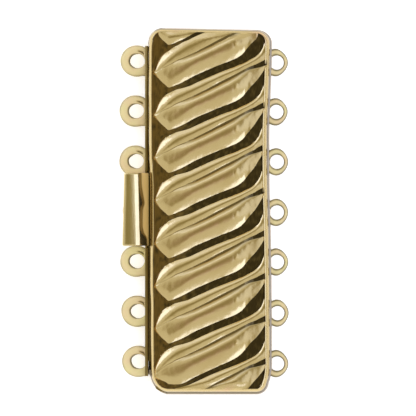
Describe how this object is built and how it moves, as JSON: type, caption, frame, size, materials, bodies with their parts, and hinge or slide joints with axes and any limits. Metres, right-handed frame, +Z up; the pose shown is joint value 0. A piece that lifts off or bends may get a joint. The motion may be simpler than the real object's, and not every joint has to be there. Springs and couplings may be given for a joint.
{
  "type": "multi-strand clasp",
  "caption": "Gold-coloured box clasp for a multi-strand necklace or bracelet: slanted gadroons on the cover, a row of loops down each side and a push-in spring tongue.",
  "frame": {"origin": "centre of the box's flat underside, on the surface that the clasp lies on", "axes": "+X across the clasp from the tongue's eyes to the box's rings, +Y along the row of loops, +Z up through the cover"},
  "size_m": [0.0168, 0.0362, 0.0042],
  "materials": {
    "gold_body": "gold plated, polished",
    "gold_cover": "gold plated, bright polish on the gadroons, darker in the ground",
    "gold_spring": "gold plated, rolled sheet with fine draw lines"
  },
  "bodies": {
    "box": {"box_body": "gold_body", "cover": "gold_cover"},
    "tongue_half": {"end_bar": "gold_body", "tongue": "gold_spring"},
    "lever": {"spring_leaf": "gold_spring"}
  },
  "joints": [
    {"name": "tongue_slide", "type": "slide", "parent": "box", "child": "tongue_half", "axis": [-1, 0, 0], "range_m": [0, 0.0118]},
    {"name": "leaf_press", "type": "hinge", "parent": "tongue_half", "child": "lever", "pos_m": [0.0049, 0, 0.0011], "axis": [0, 1, 0], "range_deg": [-2.5, 1.4], "stiffness_Nm_per_rad": 0.05, "springref_deg": 1.4}
  ]
}
